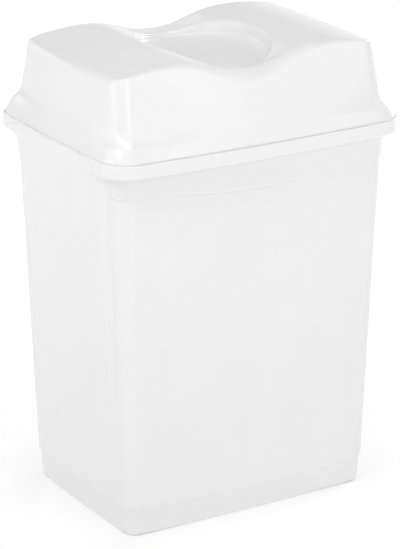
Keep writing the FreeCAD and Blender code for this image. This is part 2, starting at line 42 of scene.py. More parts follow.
# studio: name, azimuth (0 in front, -90 at the left end), elevation, distance, width, height, power
SOFTBOXES = [
    ("left_back", -150, 18, 2.6, 1.2, 1.2, 2.14),
    ("left_low", -115, 18, 2.6, 1.0, 1.6, 7.93),
    ("left", -88, 18, 2.6, 0.8, 1.6, 7.21),
    ("near", -28, 18, 2.6, 0.6, 1.6, 1.47),
    ("front_left", -10, 18, 2.6, 0.6, 1.6, 8.98),
    ("front", 8, 18, 2.6, 0.6, 1.6, 2.96),
    ("front_right", 24, 18, 2.6, 0.5, 1.6, 4.44),
    ("right_near", 42, 18, 2.6, 0.7, 1.6, 4.39),
    ("right", 70, 18, 2.6, 1.0, 1.6, 0.61),
    ("right_back", 108, 20, 2.6, 1.0, 1.4, 31.87),
    ("back", 149, 8, 2.6, 1.8, 0.5, 1.43),
    ("back_mid", 149, 24, 2.6, 1.8, 0.6, 1.19),
    ("back_high", 149, 42, 2.6, 1.8, 0.7, 3.2),
    ("back_left", -170, 22, 2.6, 1.0, 1.0, 3.52),
    ("top_left", -120, 50, 2.6, 1.0, 1.0, 0.6),
    ("top_near_left", -70, 50, 2.6, 1.0, 1.0, 13.38),
    ("top_near", -30, 50, 2.6, 1.0, 1.0, 2.06),
    ("top_front", 12, 50, 2.6, 1.0, 1.0, 2.83),
    ("top_right", 60, 50, 2.6, 1.0, 1.0, 0.48),
    ("top_near_high", -31, 78, 2.6, 1.2, 1.2, 14.83),
]
WORLD_EVEN, WORLD_HORIZON, WORLD_BACK, WORLD_TOP = 0.118, 0.000, 0.411, 0.000
FLOOR_TONE, FLOOR_GLOW = 0.42, 0.615


# ------------------------------------------------------------------ helpers
def smooth(t):
    t = 0.0 if t < 0 else (1.0 if t > 1 else t)
    return t * t * (3 - 2 * t)


def lerp(a, b, t):
    return a + (b - a) * t


def table(rows, z):
    # straight interpolation in a list of (z, values...)
    if z <= rows[0][0]:
        return rows[0][1:]
    for lo, hi in zip(rows, rows[1:]):
        if z <= hi[0]:
            t = (z - lo[0]) / (hi[0] - lo[0])
            return tuple(lerp(p, q, t) for p, q in zip(lo[1:], hi[1:]))
    return rows[-1][1:]


def spline(rows, z):
    # smooth interpolation (monotone cubic) in a list of (z, values...)
    n = len(rows)
    if z <= rows[0][0]:
        return rows[0][1:]
    if z >= rows[-1][0]:
        return rows[-1][1:]
    i = 0
    while rows[i + 1][0] < z:
        i += 1
    out = []
    h = rows[i + 1][0] - rows[i][0]
    t = (z - rows[i][0]) / h
    for k in range(1, len(rows[0])):
        def slope(j):
            if j <= 0 or j >= n - 1:
                j0 = max(0, min(n - 2, j - (1 if j >= n - 1 else 0)))
                return (rows[j0 + 1][k] - rows[j0][k]) / (rows[j0 + 1][0] - rows[j0][0])
            d0 = (rows[j][k] - rows[j - 1][k]) / (rows[j][0] - rows[j - 1][0])
            d1 = (rows[j + 1][k] - rows[j][k]) / (rows[j + 1][0] - rows[j][0])
            if d0 * d1 <= 0:
                return 0.0
            return 2 * d0 * d1 / (d0 + d1)
        m0 = slope(i) * h
        m1 = slope(i + 1) * h
        a = rows[i][k]
        b = rows[i + 1][k]
        out.append((2 * t ** 3 - 3 * t ** 2 + 1) * a + (t ** 3 - 2 * t ** 2 + t) * m0
                   + (-2 * t ** 3 + 3 * t ** 2) * b + (t ** 3 - t ** 2) * m1)
    return tuple(out)


# ------------------------------------------------------------------ rings
FY = [0.75 * i / 14 for i in range(14)] + [0.75 + 0.25 * i / 20 for i in range(20)]
NX, NC = 72, 26              # segments on a long side and on a corner


def ring(a, b, r, s1, s2, inset=0.0, nx=NX, nc=NC, fy=FY):
    """Bowed rounded rectangle as a closed ring of (x, y, nx, ny). It starts at the
    middle of the +X side and runs towards +Y; the columns keep their order at every level."""
    xc = a - r - s2
    yc = b - r - s1
    r1 = (xc * xc + s1 * s1) / (2 * s1) + r
    r2 = (yc * yc + s2 * s2) / (2 * s2) + r
    t1 = math.atan2(yc - (b - r1), xc)
    t2 = math.atan2(yc, xc - (a - r2))
    q = []                                    # first quarter, without its last point
    for f in fy:
        t = t2 * f
        q.append((a - r2 + (r2 - inset) * math.cos(t), (r2 - inset) * math.sin(t),
                  math.cos(t), math.sin(t)))
    for i in range(nc):
        t = t2 + (t1 - t2) * i / nc
        q.append((xc + (r - inset) * math.cos(t), yc + (r - inset) * math.sin(t),
                  math.cos(t), math.sin(t)))
    for i in range(nx // 2):
        t = t1 + (math.pi / 2 - t1) * i / (nx // 2)
        q.append(((r1 - inset) * math.cos(t), b - r1 + (r1 - inset) * math.sin(t),
                  math.cos(t), math.sin(t)))
    top = (0.0, b - inset, 0.0, 1.0)
    second = [top] + [(-x, y, -u, v) for x, y, u, v in reversed(q)]
    half = q + second[:-1]                    # up to, but without, the -X middle
    return half + [(-x, -y, -u, -v) for x, y, u, v in half]


def build(name, rows, start=None, end=None):
    """Closed mesh from rings of (x, y, z); start and end are the points that close it."""
    n = len(rows[0])
    verts = [p for row in rows for p in row]
    faces = []
    for i in range(len(rows) - 1):
        for j in range(n):
            k = (j + 1) % n
            faces.append((i * n + j, i * n + k, (i + 1) * n + k, (i + 1) * n + j))
    if start is not None:
        c = len(verts)
        verts.append(start)
        for j in range(n):
            faces.append((c, (j + 1) % n, j))
    if end is not None:
        c = len(verts)
        verts.append(end)
        o = (len(rows) - 1) * n
        for j in range(n):
            faces.append((c, o + j, o + (j + 1) % n))
    me = bpy.data.meshes.new(name)
    me.from_pydata([(x * MM, y * MM, z * MM) for x, y, z in verts], [], faces)
    me.polygons.foreach_set("use_smooth", [True] * len(me.polygons))
    me.validate()
    me.update()
    o = bpy.data.objects.new(name, me)
    bpy.context.scene.collection.objects.link(o)
    return o


# ------------------------------------------------------------------ tub
FOOT = [(0.0, 149.6, 105.2, 11.0, 4.6, 3.6), (30.5, 151.1, 106.7, 12.0, 4.4, 3.4)]
WALL = [(30.5, 153.0, 108.6, 14.0, 4.4, 3.4), (402.0, 165.5, 120.3, 20.0, 4.0, 3.0)]
COLLAR = (167.3, 122.1, 21.0, 4.0, 3.0)
BAND = (179.9, 135.35, 32.0, 4.0, 3.0)
# proud end panel: half sizes, corner radius and bows by level
PANEL_LOW = [(84.0, 154.6, 93.0, 12.0, 2.0, 3.0), (300.0, 168.75, 95.3, 16.56, 2.0, 3.0),
             (368.0, 173.2, 99.5, 18.0, 2.0, 3.0)]
PANEL_TOP = [(350.0, 172.02, 98.39, 17.62, 2.0, 3.0), (368.0, 173.2, 99.5, 18.0, 2.0, 3.0),
             (380.0, 174.4, 101.5, 20.0, 2.0, 2.8), (391.0, 175.9, 103.5, 24.0, 2.0, 2.4),
             (396.0, 177.0, 105.5, 26.0, 2.0, 2.2), (400.0, 178.6, 108.5, 25.0, 2.0, 1.8),
             (403.0, 180.0, 111.0, 20.0, 2.0, 1.4), (406.5, 180.2, 107.0, 16.0, 2.0, 1.1),
             (411.0, 180.2, 94.0, 16.0, 2.0, 1.0), (415.6, 180.15, 82.0, 16.0, 2.0, 1.0)]
PANEL_IN = [(84.0, 152.2, 90.6, 9.6, 2.0, 3.0), (368.0, 170.8, 93.1, 15.6, 2.0, 3.0),
            (380.0, 172.4, 93.9, 15.6, 2.0, 3.0), (391.0, 174.0, 96.6, 14.6, 2.0, 3.0),
            (405.0, 173.0, 95.6, 13.6, 2.0, 3.0)]
LIP_R = (106.0 ** 2 + 9.0 ** 2) / 18.0


def panel_at(z):
    return table(PANEL_LOW, z) if z < 350.0 else spline(PANEL_TOP, z)


def outside(x, y, a, b, r, s1, s2):
    """Signed distance from a bowed rounded rectangle, negative inside."""
    x, y = abs(x), abs(y)
    xc = a - r - s2
    yc = b - r - s1
    r1 = (xc * xc + s1 * s1) / (2 * s1) + r
    r2 = (yc * yc + s2 * s2) / (2 * s2) + r
    t1 = math.atan2(yc - (b - r1), xc)
    t2 = math.atan2(yc, xc - (a - r2))
    if x > xc or y > yc:
        t = math.atan2(y - yc, x - xc)
        if t2 <= t <= t1:
            return math.hypot(x - xc, y - yc) - r
        if t < t2 and x > xc:
            return math.hypot(x - (a - r2), y) - r2
        return math.hypot(x, y - (b - r1)) - r1
    return max(math.hypot(x - (a - r2), y) - r2, math.hypot(x, y - (b - r1)) - r1)


def proud(pt, shape, blend):
    """How far the point moves along its normal so that the ring takes the outline in."""
    x, y, nx, ny = pt
    d0 = outside(x, y, *shape)
    if d0 >= 0:
        d = -d0
    else:
        lo, hi = 0.0, 40.0
        for _ in range(24):
            m = (lo + hi) / 2
            if outside(x + m * nx, y + m * ny, *shape) < 0:
                lo = m
            else:
                hi = m
        d = lo
    h = max(blend - abs(d), 0.0) / blend
    return max(d, 0.0) + h * h * blend / 4


def lip_dip(x):
    if abs(x) >= 106.0:
        return 0.0
    return (366.2 + LIP_R - math.sqrt(LIP_R * LIP_R - x * x)) - 375.2


def lip_weight(z):
    return smooth((z - 300.0) / 64.0) * (1 - smooth((z - 379.0) / 17.0))


def mix(p, q, t):
    return tuple(lerp(u, v, t) for u, v in zip(p, q))


tub_rows = []


def tub_row(z, shape, inset=0.0, push=0.0, panel=1.0, blend=0.9):
    row = []
    w = lip_weight(z)
    for pt in ring(*shape, inset=inset):
        x, y, nx, ny = pt
        zz = z + (lip_dip(x) * w if abs(ny) > 0.9 else 0.0)
        d = push
        if panel > 0 and z > 80.0 and abs(nx) > 0.02:
            moved = (x + push * nx, y + push * ny, nx, ny)
            ps = panel_at(zz)
            if z < 84.0:
                ps = (ps[0] - (84.0 - z), ) + ps[1:]
            d += panel * proud(moved, ps, blend)
        row.append((x + d * nx, y + d * ny, zz))
    tub_rows.append(row)


# foot
for i in range(7):
    t = math.pi / 2 * i / 6
    tub_row(3.5 * (1 - math.cos(t)), table(FOOT, 0.0), inset=3.5 * (1 - math.sin(t)))
for z in (9.0, 16.0, 23.0, 28.0, 29.6):
    tub_row(z, table(FOOT, z))
for z, t in ((29.95, 0.06), (30.2, 0.26), (30.4, 0.55), (30.7, 0.8), (31.1, 0.93), (31.7, 1.0)):
    tub_row(z, mix(table(FOOT, z), table(WALL, max(z, 30.5)), t))
# walls
zs = [36.0, 46.0, 58.0, 68.0, 76.0, 80.5, 83.0, 85.0, 88.0, 92.0, 98.0, 106.0]
z = 118.0
while z < 362.0:
    zs.append(z)
    z += 12.0
zs += [366.0, 370.0, 372.4]
for z in zs:
    tub_row(z, table(WALL, z))
# lower edge of the thicker upper zone
for dz, push in ((-0.95, 0.0), (-0.5, 0.04), (-0.25, 0.2), (-0.1, 0.5), (0.1, 0.95), (0.4, 1.35),
                 (0.85, 1.62), (1.5, 1.76), (2.3, 1.8)):
    z = 375.2 + dz
    tub_row(z, table(WALL, z), push=push)
for z in (379.0, 380.8, 382.6, 384.4, 386.2, 388.0, 389.8, 391.6, 393.4, 395.0, 396.4):
    tub_row(z, table(WALL, z), push=1.8)
# underside of the rim band
for i in range(6):
    t = math.pi / 2 * i / 5
    tub_row(397.6 + 2.4 * math.sin(t), mix(COLLAR, BAND, 2.4 * (1 - math.cos(t)) / 12.9))
for u in (4.4, 6.4, 8.2):
    tub_row(400.0, mix(COLLAR, BAND, u / 12.9))
for i in range(8):
    t = math.pi / 2 * i / 7
    tub_row(400.0 + 3.0 * (1 - math.cos(t)), mix(COLLAR, BAND, (9.9 + 3.0 * math.sin(t)) / 12.9))
for z in (404.0, 405.2, 406.4, 407.6, 408.8, 410.0, 411.2, 412.4, 413.4):
    tub_row(z, BAND)
for i in range(6):
    t = math.pi / 2 * i / 5
    tub_row(414.1 + 1.5 * math.sin(t), BAND, inset=1.5 * (1 - math.cos(t)), panel=math.cos(t) ** 0.5)
# inner side of the band, ledge and hollow
INSIDE_ROW = len(tub_rows)
tub_row(415.6, BAND, inset=1.8, panel=0.0)
tub_row(415.45, BAND, inset=2.15, panel=0.0)
tub_row(415.1, BAND, inset=2.3, panel=0.0)
for z in (411.0, 407.0, 404.8):
    tub_row(z, BAND, inset=2.3, panel=0.0)
tub_row(404.35, BAND, inset=2.45, panel=0.0)
tub_row(404.2, BAND, inset=2.8, panel=0.0)


def inner_row(z, shape, inset, lip=0.0):
    row = []
    for pt in ring(*shape, inset=inset):
        x, y, nx, ny = pt
        d = 0.0
        if z > 84.0 and abs(nx) > 0.02:
            d = proud(pt, table(PANEL_IN, z), 2.0)
        d -= lip
        row.append((x + d * nx, y + d * ny, z))
    tub_rows.append(row)


inner_row(404.2, table(WALL, 404.2), 2.4, lip=-1.2)
inner_row(404.0, table(WALL, 404.0), 2.4, lip=-0.6)
inner_row(403.4, table(WALL, 403.4), 2.4, lip=-0.15)
inner_row(402.4, table(WALL, 402.4), 2.4)
for z in (399.0, 395.0, 391.0, 387.0, 383.0, 379.0, 375.0, 370.0, 364.0, 350.0, 330.0, 300.0, 270.0,
          240.0, 210.0, 180.0, 150.0, 125.0, 105.0, 92.0, 84.5, 78.0, 60.0, 45.0, 36.5):
    inner_row(z, table(WALL, z), 2.4)
inner_row(34.0, mix(table(FOOT, 30.5), table(WALL, 34.0), 0.75), 2.4)
inner_row(31.0, mix(table(FOOT, 30.5), table(WALL, 31.0), 0.2), 2.4)
inner_row(29.0, table(FOOT, 29.0), 2.4)
inner_row(16.0, table(FOOT, 16.0), 2.7)
for i in range(6):
    t = math.pi / 2 * i / 5
    inner_row(6.3 - 3.5 * math.sin(t), table(FOOT, 3.0), 3.0 + 3.5 * (1 - math.cos(t)))
tub_inside_from = INSIDE_ROW * len(tub_rows[0])
tub = build("bin_shell", tub_rows, start=(0, 0, 0), end=(0, 0, 2.8))
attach(tub, "bin")
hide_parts("bin_body")

# ------------------------------------------------------------------ lid
# how far the corners have drawn in between the skirt and the foot of the dome
GUSSET = [(416.4, 0.0), (420.0, 0.05), (424.0, 0.12), (427.0, 0.19), (429.5, 0.29), (431.5, 0.43), (433.5, 0.60),
          (435.5, 0.76), (437.5, 0.88), (440.0, 0.96), (444.0, 1.0)]


def lid_outline(z):
    f = spline(GUSSET, z)[0]
    return (177.4 - 0.25 * (z - 416.4), 132.3 - 0.3732 * (z - 416.4), 28.9 - 7.9 * f, 4 + 8 * f, 3 + 6 * f)


DOME_LOW = (170.5, 122.0, 21.0, 12.0, 9.0)
DOME_HIGH = (156.6, 97.0, 19.0, 1.6, 1.2)
LFY = [i / 30.0 for i in range(30)]
LNX, LNC = 100, 26
CREST_H, VALLEY_H, CREST_X = 501.8, 486.8, 86.0
RR = (CREST_X ** 2 + (CREST_H - VALLEY_H) ** 2) / (2 * (CREST_H - VALLEY_H))


def wave(x, drop=0.0):
    """Height of the lid's top and its slope at x."""
    s = 1.0 if x >= 0 else -1.0
    x = abs(x)
    vz, cz = VALLEY_H - drop, CREST_H - drop
    rv, rc, ro = RR * 0.48 + drop, RR * 0.52 - drop, 300.0 - drop
    xt = CREST_X * rv / RR
    if x < xt:
        h = math.sqrt(rv * rv - x * x)
        return vz + rv - h, s * x / h
    if x < CREST_X:
        d = x - CREST_X
        h = math.sqrt(rc * rc - d * d)
        return cz - rc + h, -s * d / h
    d = x - CREST_X
    h = math.sqrt(ro * ro - d * d)
    return cz - ro + h, -s * d / h


EDGE = [(0.0, 19.0), (22.0, 18.0), (44.0, 14.5), (66.0, 10.0), (88.0, 6.5), (110.0, 4.4),
        (128.0, 3.2), (137.0, 2.8)]


def sunk(x, t):
    """How far the valley lies under the wave, t from 0 at the edge to 1 at the dish."""
    k = 1 - (x / 62.0) ** 2
    return DIP * k * k * smooth(t * 1.25) if k > 0 else 0.0


DIP, FLOOR_Z, FLOOR_R = 3.0, 478.4, 215.0
OVAL_Y, OVAL_A, OVAL_B = -4.0, 65.5, 85.0         # middle and half sizes of the dish
LEAN = 1.6                                        # how far its wall leans in


def lid_rows(inset, drop, grow, less):
    """Rings from the lower edge of the skirt to the rim of the dish floor."""
    kw = dict(inset=inset, nx=LNX, nc=LNC, fy=LFY)
    rows = []
    for z in (404.9, 408.0, 412.0, 415.4, 416.4):
        rows.append([(x, y, z) for x, y, _, _ in ring(*lid_outline(416.4), **kw)])
    if inset == 0.0:
        rows.insert(0, [(x, y, 404.5) for x, y, _, _ in ring(*lid_outline(416.4), inset=0.4, nx=LNX, nc=LNC, fy=LFY)])
    else:
        rows.insert(0, [(x, y, 404.5) for x, y, _, _ in ring(*lid_outline(416.4), inset=inset - 0.4, nx=LNX, nc=LNC, fy=LFY)])
    z = 417.5
    while z < 443.6:
        rows.append([(x, y, z) for x, y, _, _ in ring(*lid_outline(z), **kw)])
        z += 1.1
    low = ring(*DOME_LOW, **kw)
    high = ring(*DOME_HIGH, **kw)
    rows.append([(x, y, 444.0) for x, y, _, _ in low])
    n = len(low)
    cols = []
    half_long = 0.0
    for j in range(n):
        p0 = Vector((low[j][0], low[j][1], 444.0))
        p1 = Vector((high[j][0], high[j][1], 512.0))
        wall = (p1 - p0).normalized()
        zi = 495.0
        for _ in range(30):
            q = p0.lerp(p1, (zi - 444.0) / 68.0)
            zi = wave(q.x, drop)[0]
        tip = p0.lerp(p1, (zi - 444.0) / 68.0)
        nx, ny = high[j][2], high[j][3]
        inward = Vector((-nx, -ny, -nx * wave(tip.x, drop)[1])).normalized()
        # size of the rounding by place: ends, corners, long sides
        g = math.degrees(math.atan2(abs(ny), abs(nx)))
        if abs(ny) > 0.97 or g > 80:
            size = table(EDGE, abs(tip.x))[0]
        elif g < 8:
            size = 12.5
        else:
            size = lerp(12.5, 2.8, smooth((g - 8) / 26.0))
        size = max(size - less, 2.0)
        turn = wall.angle(inward)
        ln = size * math.tan(turn / 2)
        a = tip - wall * ln
        b = tip + inward * ln
        zb, sb = wave(b.x, drop)
        b = Vector((b.x, b.y, zb))
        inb = Vector((-nx, -ny, -nx * sb)).normalized()
        k = size * 4 / 3 * math.tan(turn / 4)
        cols.append((p0, a, a + wall * k, b - inb * k, b))
    for t in (0.12, 0.25, 0.38, 0.5, 0.62, 0.74, 0.85, 0.94):
        rows.append([tuple(c[0].lerp(c[1], t)) for c in cols])
    for i in range(12):
        t = i / 11.0
        row = []
        for _, a, b, c, d in cols:
            row.append(tuple(a * (1 - t) ** 3 + b * (3 * t * (1 - t) ** 2) + c * (3 * t * t * (1 - t)) + d * t ** 3))
        rows.append(row)
    # top, from the rounding to the rim of the dish
    edge = 1.5 if inset == 0.0 else 2.4
    rim = []
    for c in cols:
        th = math.atan2((c[4].y - OVAL_Y) / OVAL_B, c[4].x / OVAL_A)
        rim.append((math.cos(th), math.sin(th)))

    def oval(u, v, g):
        return (OVAL_A + grow + g) * u, OVAL_Y + (OVAL_B + grow + g) * v

    for t in (0.05, 0.12, 0.2, 0.3, 0.4, 0.5, 0.6, 0.7, 0.8, 0.88, 0.94, 1.0):
        row = []
        for c, (u, v) in zip(cols, rim):
            ox, oy = oval(u, v, edge)
            x = lerp(c[4].x, ox, t)
            row.append((x, lerp(c[4].y, oy, t), wave(x, drop)[0] - sunk(x, t)))
        rows.append(row)

    def floor_z(x):
        return FLOOR_Z - drop + x * x / (2 * FLOOR_R)

    def top(x):
        return wave(x, drop)[0] - sunk(x, 1.0)

    # rolled edge, wall with a little draft, and the hollow curve into the floor
    for i in range(1, 7):
        f = math.pi / 2 * i / 6.0
        row = []
        for u, v in rim:
            x, y = oval(u, v, edge * (1 - math.sin(f)))
            e = min(edge, 0.4 * (top(x) - floor_z(x)))
            row.append((x, y, top(x) - e * (1 - math.cos(f))))
        rows.append(row)
    hollow = 3.2 if inset == 0.0 else 3.0
    for t in (0.33, 0.66, 1.0):
        row = []
        for u, v in rim:
            x, y = oval(u, v, -LEAN * t)
            zt, zf = top(x), floor_z(x)
            e = min(edge, 0.4 * (zt - zf))
            h = min(hollow, 0.5 * (zt - zf))
            row.append((x, y, lerp(zt - e, zf + h, t)))
        rows.append(row)
    for i in range(1, 9):
        f = math.pi / 2 * i / 8.0
        row = []
        for u, v in rim:
            x0 = oval(u, v, -LEAN)[0]
            h = min(hollow, 0.5 * (top(x0) - floor_z(x0)))
            x, y = oval(u, v, -LEAN - hollow * (1 - math.cos(f)))
            row.append((x, y, floor_z(x) + h * (1 - math.sin(f))))
        rows.append(row)
    for k in (0.93, 0.84, 0.73, 0.61, 0.48, 0.35, 0.22, 0.1):
        row = []
        for u, v in rim:
            x, y = oval(u, v, -LEAN - hollow)
            row.append((x * k, OVAL_Y + (y - OVAL_Y) * k, floor_z(x * k)))
        rows.append(row)
    return rows


outer = lid_rows(0.0, 0.0, 0.0, 0.0)
inner = lid_rows(2.4, 2.4, 2.4, 5.0)
lid_outside_from = len(inner) * len(inner[0])
lid_faces = (len(inner) + len(outer) - 1) * len(inner[0])
lid_inner_cap = range(lid_faces, lid_faces + len(inner[0]))
lid = build("lid_dome", list(reversed(inner)) + outer, start=(0, OVAL_Y, FLOOR_Z - 2.4), end=(0, OVAL_Y, FLOOR_Z))
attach(lid, "lid")
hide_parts("lid")

# ------------------------------------------------------------------ hinge
HY, HZ, KR = 132.3, 419.2, 3.0


def prism(name, profile, x0, x1, soft):
    """Profile of (y, z) points drawn out along X, with softened end edges."""
    bm = bmesh.new()
    a = [bm.verts.new((x0 * MM, y * MM, z * MM)) for y, z in profile]
    b = [bm.verts.new((x1 * MM, y * MM, z * MM)) for y, z in profile]
    n = len(profile)
    fa = bm.faces.new(list(reversed(a)))
    fb = bm.faces.new(b)
    for i in range(n):
        bm.faces.new((a[i], a[(i + 1) % n], b[(i + 1) % n], b[i]))
    bm.normal_update()
    edges = list(fa.edges) + list(fb.edges)
    bmesh.ops.bevel(bm, geom=edges, offset=soft * MM, segments=3, profile=0.5, affect="EDGES",
                    clamp_overlap=True)
    bmesh.ops.recalc_face_normals(bm, faces=bm.faces)
    me = bpy.data.meshes.new(name)
    bm.to_mesh(me)
    bm.free()
    me.polygons.foreach_set("use_smooth", [True] * len(me.polygons))
    me.set_sharp_from_angle(angle=math.radians(50))
    o = bpy.data.objects.new(name, me)
    bpy.context.scene.collection.objects.link(o)
    return o


def fan(cy, cz, r, a0, a1, n):
    return [(cy + r * math.cos(math.radians(a0 + (a1 - a0) * i / n)),
             cz + r * math.sin(math.radians(a0 + (a1 - a0) * i / n))) for i in range(n + 1)]


lug_profile = [(HY - 5.2, HZ - KR)] + fan(HY, HZ, KR, -90, 90, 28) + [(HY - 5.2, HZ + KR)]
ear_profile = [(HY - 0.2, 413.8), (HY + 2.0, 413.8)] + fan(HY, HZ, KR, -48.2, 266.2, 44)
pad_profile = [(HY - 10.4, HZ - 6.0), (HY - 9.8, HZ - 6.6), (HY - 4.4, HZ - 6.6), (HY - 5.0, HZ + 4.0),
               (HY - 6.4, HZ + 6.4), (HY - 9.8, HZ + 6.4), (HY - 10.4, HZ + 5.8)]
hinge_pieces = []
for side, sg in (("left", -1), ("right", 1)):
    mid = 92.0 * sg
    lug = prism("lid_lug_" + side, lug_profile, mid - 8.5, mid + 8.5, 0.4)
    pad = prism("lid_pad_" + side, pad_profile, mid - 16.8, mid + 16.8, 0.5)
    for o in (lug, pad):
        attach(o, "lid")
    hinge_pieces += [lug, pad]
    for tag, x0 in (("near", mid - 13.6), ("far", mid + 8.9)):
        ear = prism("rim_ear_%s_%s" % (tag, side), ear_profile, x0, x0 + 4.7, 0.4)
        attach(ear, "bin")
        hinge_pieces.append(ear)

# ------------------------------------------------------------------ materials
def node(nt, kind, **inputs):
    n = nt.nodes.new(kind)
    for k, v in inputs.items():
        n.inputs[k.replace("_", " ")].default_value = v
    return n


def spots(nt, vec, scale, detail, rough, shift):
    """Noise at a scale per metre, with its own offset."""
    mp = nt.nodes.new("ShaderNodeMapping")
    mp.inputs["Location"].default_value = shift
    nt.links.new(vec, mp.inputs["Vector"])
    n = nt.nodes.new("ShaderNodeTexNoise")
    n.inputs["Scale"].default_value = scale
    n.inputs["Detail"].default_value = detail
    n.inputs["Roughness"].default_value = rough
    nt.links.new(mp.outputs[0], n.inputs["Vector"])
    return n.outputs["Fac"]


def span(nt, src, lo, hi, a, b):
    m = nt.nodes.new("ShaderNodeMapRange")
    m.inputs["From Min"].default_value = lo
    m.inputs["From Max"].default_value = hi
    m.inputs["To Min"].default_value = a
    m.inputs["To Max"].default_value = b
    nt.links.new(src, m.inputs["Value"])
    return m.outputs["Result"]


def arith(nt, op, a, b):
    m = nt.nodes.new("ShaderNodeMath")
    m.operation = op
    for s, v in ((m.inputs[0], a), (m.inputs[1], b)):
        if isinstance(v, (int, float)):
            s.default_value = v
        else:
            nt.links.new(v, s)
    return m.outputs[0]


def plastic(name, dark, light, rough, ior, skin, grain, shift, painted_shade_lines=False):
    """White moulded plastic: cloudy pigment, uneven gloss, a faint flow-marked skin and
    a fine mould grain; optionally thin lines of painted shade under the band and the arched lip."""
    mat = bpy.data.materials.new(name)
    mat.use_nodes = True
    nt = mat.node_tree
    nt.nodes.clear()
    out = nt.nodes.new("ShaderNodeOutputMaterial")
    b = nt.nodes.new("ShaderNodeBsdfPrincipled")
    nt.links.new(b.outputs[0], out.inputs[0])
    b.inputs["IOR"].default_value = ior
    b.inputs["Specular IOR Level"].default_value = 0.5
    tc = nt.nodes.new("ShaderNodeTexCoord").outputs["Object"]
    cloud = spots(nt, tc, 9.0, 3.0, 0.5, shift)
    speck = spots(nt, tc, 420.0, 2.0, 0.6, shift)
    flow = nt.nodes.new("ShaderNodeMapping")          # melt flows up the wall: long in Z
    flow.inputs["Scale"].default_value = (1.0, 1.0, 0.16)
    flow.inputs["Location"].default_value = shift
    nt.links.new(tc, flow.inputs["Vector"])
    streak = nt.nodes.new("ShaderNodeTexNoise")
    streak.inputs["Scale"].default_value = 60.0
    streak.inputs["Detail"].default_value = 3.0
    streak.inputs["Roughness"].default_value = 0.55
    streak.inputs["Distortion"].default_value = 0.4
    nt.links.new(flow.outputs[0], streak.inputs["Vector"])
    streak = streak.outputs["Fac"]
    tone = arith(nt, "ADD", arith(nt, "MULTIPLY", cloud, 0.62),
                 arith(nt, "ADD", arith(nt, "MULTIPLY", streak, 0.28), arith(nt, "MULTIPLY", speck, 0.10)))
    ramp = nt.nodes.new("ShaderNodeValToRGB")
    ramp.color_ramp.elements[0].position = 0.36
    ramp.color_ramp.elements[0].color = dark + (1.0,)
    ramp.color_ramp.elements[1].position = 0.64
    ramp.color_ramp.elements[1].color = light + (1.0,)
    nt.links.new(tone, ramp.inputs["Fac"])
    tint = ramp.outputs["Color"]
    if painted_shade_lines:                              # painted shade: darker thin lines under the band and under the arched lip, where shade falls
        sp = nt.nodes.new("ShaderNodeSeparateXYZ")
        nt.links.new(tc, sp.inputs[0])
        xx = arith(nt, "MINIMUM", arith(nt, "ABSOLUTE", sp.outputs["X"], 0.0), 0.106)
        big = LIP_R * MM
        arch = arith(nt, "SUBTRACT", 0.3662 + big - 0.0005,
                     arith(nt, "SQRT", arith(nt, "SUBTRACT", big * big, arith(nt, "MULTIPLY", xx, xx)), 0.0))
        # lip and under are masks of painted shade: a faint line under the arched lip and a stronger one under the band
        lip = span(nt, arith(nt, "ABSOLUTE", arith(nt, "SUBTRACT", sp.outputs["Z"], arch), 0.0), 0.0004, 0.0012, 0.10, 0.0)
        under = span(nt, arith(nt, "ABSOLUTE", arith(nt, "SUBTRACT", sp.outputs["Z"], 0.3987), 0.0), 0.0010, 0.0026, 0.36, 0.0)
        plain = arith(nt, "MAXIMUM",            # the end panels run through without a fold, so they get no painted shade
                      span(nt, arith(nt, "ABSOLUTE", sp.outputs["X"], 0.0), 0.158, 0.164, 1.0, 0.0),
                      span(nt, arith(nt, "ABSOLUTE", sp.outputs["Y"], 0.0), 0.105, 0.111, 0.0, 1.0))
        keep = arith(nt, "SUBTRACT", 1.0, arith(nt, "MULTIPLY", plain, arith(nt, "MAXIMUM", lip, under)))
        sc = nt.nodes.new("ShaderNodeVectorMath")
        sc.operation = "SCALE"
        nt.links.new(tint, sc.inputs[0])
        nt.links.new(keep, sc.inputs["Scale"])
        tint = sc.outputs[0]
    nt.links.new(tint, b.inputs["Base Color"])
    gl = arith(nt, "ADD", arith(nt, "MULTIPLY", spots(nt, tc, 26.0, 4.0, 0.6, shift), 0.6),
               arith(nt, "MULTIPLY", streak, 0.4))
    nt.links.new(span(nt, gl, 0.35, 0.65, rough - 0.035, rough + 0.045), b.inputs["Roughness"])
    # skin: long soft ripple of the moulded wall, then the fine grain of the mould
    bump1 = nt.nodes.new("ShaderNodeBump")
    bump1.inputs["Strength"].default_value = skin
    bump1.inputs["Distance"].default_value = 0.0006
    nt.links.new(spots(nt, tc, 75.0, 2.0, 0.4, shift), bump1.inputs["Height"])
    bump2 = nt.nodes.new("ShaderNodeBump")
    bump2.inputs["Strength"].default_value = grain
    bump2.inputs["Distance"].default_value = 0.00006
    nt.links.new(spots(nt, tc, 1500.0, 2.0, 0.5, shift), bump2.inputs["Height"])
    nt.links.new(bump1.outputs[0], bump2.inputs["Normal"])
    nt.links.new(bump2.outputs[0], b.inputs["Normal"])
    return mat


shell_out = plastic("plastic_tub", (0.886, 0.886, 0.886), (0.906, 0.906, 0.906), 0.222, 1.49, 0.04, 0.05, (3.1, 1.7, 0.4), painted_shade_lines=True)
shell_in = plastic("plastic_tub_inside", (0.872, 0.872, 0.872), (0.90, 0.90, 0.90), 0.48, 1.49, 0.08, 0.55, (7.3, 2.2, 5.1))
lid_out = plastic("plastic_lid", (0.892, 0.892, 0.892), (0.909, 0.909, 0.909), 0.20, 1.49, 0.03, 0.04, (0.6, 8.3, 2.9))
lid_in = plastic("plastic_lid_inside", (0.872, 0.872, 0.872), (0.90, 0.90, 0.90), 0.46, 1.49, 0.08, 0.5, (5.5, 4.2, 9.1))
pin_mat = plastic("plastic_pin", (0.84, 0.845, 0.85), (0.87, 0.872, 0.875), 0.38, 1.53, 0.03, 0.3, (1.5, 9.2, 6.1))

